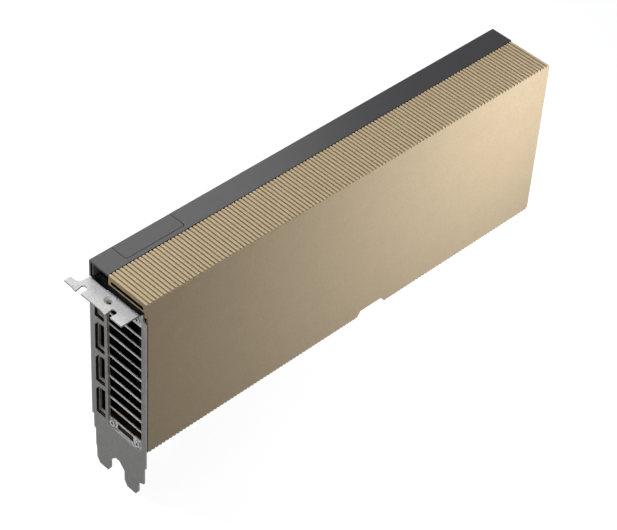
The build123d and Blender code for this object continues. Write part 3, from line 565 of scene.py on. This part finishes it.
def screw_piece(node_name, axis, outward):
    """Rounds the screws, paints their recesses black as painted shade. Heads face outward on axis.
    """
    piece = soft_piece(node_name, screw_zinc, 0.08, segments=1)
    piece.data.materials.append(recess_shade_black)
    first, second = [other for other in (X_AXIS, Y_AXIS, Z_AXIS) if other != axis]
    shape = bmesh.new()
    shape.from_mesh(piece.data)
    count = 0
    for group in separate_shapes(shape):
        top = max(outward * corner.co[axis] for corner in group)
        first_middle = middle_of(group, first)
        second_middle = middle_of(group, second)
        for face in {face for corner in group for face in corner.link_faces}:
            place = face.calc_center_median()
            depth = top - outward * place[axis]
            reach = math.hypot(place[first] - first_middle, place[second] - second_middle)
            if reach < recess_radius and recess_start < depth < recess_depth:
                face.material_index = 1
                count += 1
    shape.to_mesh(piece.data)
    shape.free()
    return count


for node_name, (axis, outward) in screw_heads.items():
    print(node_name, "recess faces:", screw_piece(node_name, axis, outward))

# %% [markdown]
# ## Small parts that the CAD model leaves to this scene
# Each port's tongue carries ten thin gold contacts on each side. They are far too thin for the
# CAD model, but they are what glints in the dark windows. One strip is a cube, scaled, rounded
# and moved, and the same few lines make all eighty in one mesh.


# %% A rounded brick, and the port contacts
def brick(shape, size_mm, place, round_mm):
    """Adds a rounded block to a bmesh: its size in millimetres, its middle in metres."""
    corners = bmesh.ops.create_cube(shape, size=1.0)["verts"]
    bmesh.ops.scale(shape, verts=corners, vec=[side * MM for side in size_mm])
    bmesh.ops.translate(shape, verts=corners, vec=place)
    edges = list({edge for corner in corners for edge in corner.link_edges})
    round_edges(shape, edges, round_mm, 1)


contacts_each_side = 10
contact_pitch = 1.0 * MM
contact_mm = (4.4, 0.06, 0.5)
contact_round_mm = 0.02
tongue_half = 0.6 * MM
tongue_start = 0.85 * MM
contact_length, contact_thick = contact_mm[0] * MM, contact_mm[1] * MM
contact_shape = bmesh.new()
for index in range(1, PORT_COUNT + 1):
    block_low, block_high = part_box(f"video_port_insert_{index}")
    block_middle = (block_low + block_high) / 2
    x = block_low.x + tongue_start + contact_length / 2
    for side in (-1, 1):
        y = block_middle.y + side * (tongue_half + contact_thick / 2)
        for step in range(contacts_each_side):
            z = block_middle.z + (step - (contacts_each_side - 1) / 2) * contact_pitch
            brick(contact_shape, contact_mm, (x, y, z), contact_round_mm)
port_contacts = shape_to_piece(contact_shape, "port_contacts", contact_gold)
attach(port_contacts, "root")
print("contact faces:", len(port_contacts.data.polygons))

# %% [markdown]
# Behind the slot of the grille's lower panel only shade shows. A thin black strip on the
# panel's back, just under the cover, is painted shade: it closes the part of the slot that the
# cover doesn't.

# %% The strip of painted shade behind the slot
strip_mm = (0.3, 13.0, 1.4)
strip_round_mm = 0.05
strip_gap = 0.05 * MM
grille_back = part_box("vent_grille")[1].x
screws_low, screws_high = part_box("grille_screws")
strip_place = (grille_back + strip_mm[0] / 2 * MM, (screws_low.y + screws_high.y) / 2,
               cover_low.z - strip_gap - strip_mm[2] / 2 * MM)
# The strip is painted shade, not a part of the card.
strip_shape = bmesh.new()
brick(strip_shape, strip_mm, strip_place, strip_round_mm)
slot_shade_strip = shape_to_piece(strip_shape, "slot_shade_strip", frame_black)
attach(slot_shade_strip, "root")
print("slot strip in mm:", strip_mm)

# %% [markdown]
# On the board's back, right behind the processor, sit rows of small ceramic capacitors, which
# steady its supply. The window in the backplate shows them between the arms of the spring. Each
# is a tan body with two tinned ends. Their rows run on all four sides of the middle, and the
# spring's arms, which run along the diagonals, stay clear of them.

# %% The capacitors behind the processor
body_mm = (1.0, 0.5, 0.8)
end_mm = (0.3, 0.56, 0.86)
end_shift = 0.62 * MM
part_round_mm = 0.05
part_pitch = 2.2 * MM
row_counts = {11.0: 3, 14.0: 5, 17.0: 7, 20.0: 9}
spring_low, spring_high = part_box("spring_plate")
spring_middle = (spring_low + spring_high) / 2
board_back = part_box("circuit_board")[1].y
body_shape = bmesh.new()
end_shape = bmesh.new()


def laid(size_mm, along_x):
    """A size given as length, height and width, with its length along X or else along Z."""
    length, height, width = size_mm
    return (length, height, width) if along_x else (width, height, length)


def add_capacitor(x, z, along_x):
    """One capacitor on the board's back: its body in one mesh, its two ends in the other."""
    body_y = board_back + body_mm[1] / 2 * MM
    end_y = board_back + end_mm[1] / 2 * MM
    brick(body_shape, laid(body_mm, along_x), (x, body_y, z), part_round_mm)
    for shift in (-end_shift, end_shift):
        place = (x + shift, end_y, z) if along_x else (x, end_y, z + shift)
        brick(end_shape, laid(end_mm, along_x), place, part_round_mm)


for away_mm, count in row_counts.items():
    for quarter in range(4):
        angle = quarter * math.pi / 2
        for step in range(count):
            along = (step - (count - 1) / 2) * part_pitch
            add_capacitor(
                spring_middle.x + away_mm * MM * math.cos(angle) - along * math.sin(angle),
                spring_middle.z + away_mm * MM * math.sin(angle) + along * math.cos(angle),
                quarter % 2 == 0)
for name, shape, material in (("ceramic_bodies", body_shape, ceramic_tan),
                              ("ceramic_ends", end_shape, solder_tin)):
    piece = shape_to_piece(shape, name, material)
    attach(piece, "root")
print("small capacitors:", 4 * sum(row_counts.values()))

# %% [markdown]
# ## The finishes on the rest
# The remaining nodes keep their CAD shapes: contact pads, fins, posts and the parts that the
# cover hides. They only need the right material.

# %% Dress the plain nodes
plain_dress = {
    "circuit_board": board_mask, "edge_contacts_front": contact_gold,
    "edge_contacts_back": contact_gold, "link_contacts": contact_gold, "fin_stack": fin_shade_black,
    "board_standoffs": ring_steel, "board_posts": ring_steel, "processor_substrate": laminate_green,
    "processor_die": die_silicon, "processor_ring": ring_steel, "memory_pads": pad_grey,
    "inductor_pads": pad_grey, "power_stages": chip_resin, "capacitors": can_metal,
    "power_pins": contact_gold,
}
for node_name, material in plain_dress.items():
    node = nodes[node_name]
    node.data.materials.clear()
    node.data.materials.append(material)
print("plain nodes dressed:", len(plain_dress))

# %% [markdown]
# ## The studio
# The floor lies just under the bracket's tongues. It is a pale plane: the camera, and what
# metal mirrors, see it as white, and it keeps the shadow that the card throws on it. The same
# rays see the world as white, while the light that the world itself gives is very faint.


# %% Floor and world
def seen_rays(tree):
    """1 for rays from the camera, from a mirror or through glass, and 0 for all others."""
    rays = tree.nodes.new("ShaderNodeLightPath")
    total = rays.outputs["Is Camera Ray"]
    for kind in ("Is Glossy Ray", "Is Transmission Ray"):
        add = tree.nodes.new("ShaderNodeMath")
        add.operation = "ADD"
        add.use_clamp = True
        tree.links.new(total, add.inputs[0])
        tree.links.new(rays.outputs[kind], add.inputs[1])
        total = add.outputs[0]
    return total


def background(tree, strength):
    sky = tree.nodes.new("ShaderNodeBackground")
    sky.inputs["Color"].default_value = (1, 1, 1, 1)
    sky.inputs["Strength"].default_value = strength
    return sky.outputs[0]


floor_gap = 0.4 * MM
floor_reach = 6.0
floor_lift = 0.90
floor_grey = 0.26
soft_sky_strength = 0.02
floor_height = cad_box[0].z - floor_gap
floor_shape = bmesh.new()
bmesh.ops.create_grid(floor_shape, x_segments=1, y_segments=1, size=floor_reach)
bmesh.ops.translate(floor_shape, verts=floor_shape.verts, vec=(0, 0, floor_height))
floor_mesh = bpy.data.meshes.new("floor")
floor_shape.to_mesh(floor_mesh)
floor_shape.free()
floor = bpy.data.objects.new("floor", floor_mesh)
bpy.context.scene.collection.objects.link(floor)

floor_finish = bpy.data.materials.new("pale floor")
floor_finish.use_nodes = True
floor_tree = floor_finish.node_tree
floor_tree.nodes.clear()
lift = floor_tree.nodes.new("ShaderNodeMath")
lift.operation = "MULTIPLY"
lift.inputs[1].default_value = floor_lift
glow = floor_tree.nodes.new("ShaderNodeEmission")
chalk = floor_tree.nodes.new("ShaderNodeBsdfDiffuse")
chalk.inputs["Color"].default_value = (floor_grey, floor_grey, floor_grey, 1)
both = floor_tree.nodes.new("ShaderNodeAddShader")
floor_out = floor_tree.nodes.new("ShaderNodeOutputMaterial")
floor_tree.links.new(seen_rays(floor_tree), lift.inputs[0])
floor_tree.links.new(lift.outputs[0], glow.inputs["Strength"])
floor_tree.links.new(chalk.outputs[0], both.inputs[0])
floor_tree.links.new(glow.outputs[0], both.inputs[1])
floor_tree.links.new(both.outputs[0], floor_out.inputs["Surface"])
floor_mesh.materials.append(floor_finish)

world = bpy.data.worlds.new("studio")
bpy.context.scene.world = world
world.use_nodes = True
world_tree = world.node_tree
world_tree.nodes.clear()
sky_mix = world_tree.nodes.new("ShaderNodeMixShader")
sky_out = world_tree.nodes.new("ShaderNodeOutputWorld")
world_tree.links.new(seen_rays(world_tree), sky_mix.inputs["Fac"])
world_tree.links.new(background(world_tree, soft_sky_strength), sky_mix.inputs[1])
world_tree.links.new(background(world_tree, 1.0), sky_mix.inputs[2])
world_tree.links.new(sky_mix.outputs[0], sky_out.inputs["Surface"])
print("floor height in mm:", round(floor_height / MM, 2))

# %% [markdown]
# ## The lamps
# Four soft lamps light the card. The back lamp stands where the rail would mirror it, which
# gives the near half of the rail its sheen. The over lamp hangs high over the bracket, toward
# the card's back, and lights the ribs and the folded tab. The front lamp stands low in front of
# the far half and faces back along the card, so that the broad gold face brightens evenly from
# the bracket to the far end. The near lamp is a faint one for the bracket. The camera sees none
# of them. Places are in metres, and each lamp faces its target.


# %% Lamps
def soft_lamp(name, place, target, width, height, watts, color=(1, 1, 1)):
    data = bpy.data.lights.new(name, "AREA")
    data.shape = "RECTANGLE"
    data.size = width
    data.size_y = height
    data.energy = watts
    data.color = color
    lamp = bpy.data.objects.new(name, data)
    facing = (Vector(target) - Vector(place)).to_track_quat("-Z", "Y").to_matrix().to_4x4()
    lamp.matrix_world = Matrix.Translation(Vector(place)) @ facing
    bpy.context.scene.collection.objects.link(lamp)
    lamp.visible_camera = False


soft_lamp("back lamp", (0.30, 0.42, 0.62), (0.05, 0, 0.10), 0.36, 0.30, 1.46)
soft_lamp("over lamp", (-0.09, 0.16, 0.48), (-0.05, 0, 0.08), 0.20, 0.20, 1.23, (0.98, 1.0, 1.12))
soft_lamp("front lamp", (0.20, -0.178, 0.125), (0.046, -0.066, 0.074), 0.20, 0.20, 0.51,
          (0.98, 1.0, 1.16))
soft_lamp("near lamp", (-0.16, -0.02, 0.18), (-0.06, -0.015, 0.08), 0.08, 0.08, 0.042)
bpy.context.scene.view_settings.view_transform = "Standard"
print("lamps:", len(bpy.data.lights))
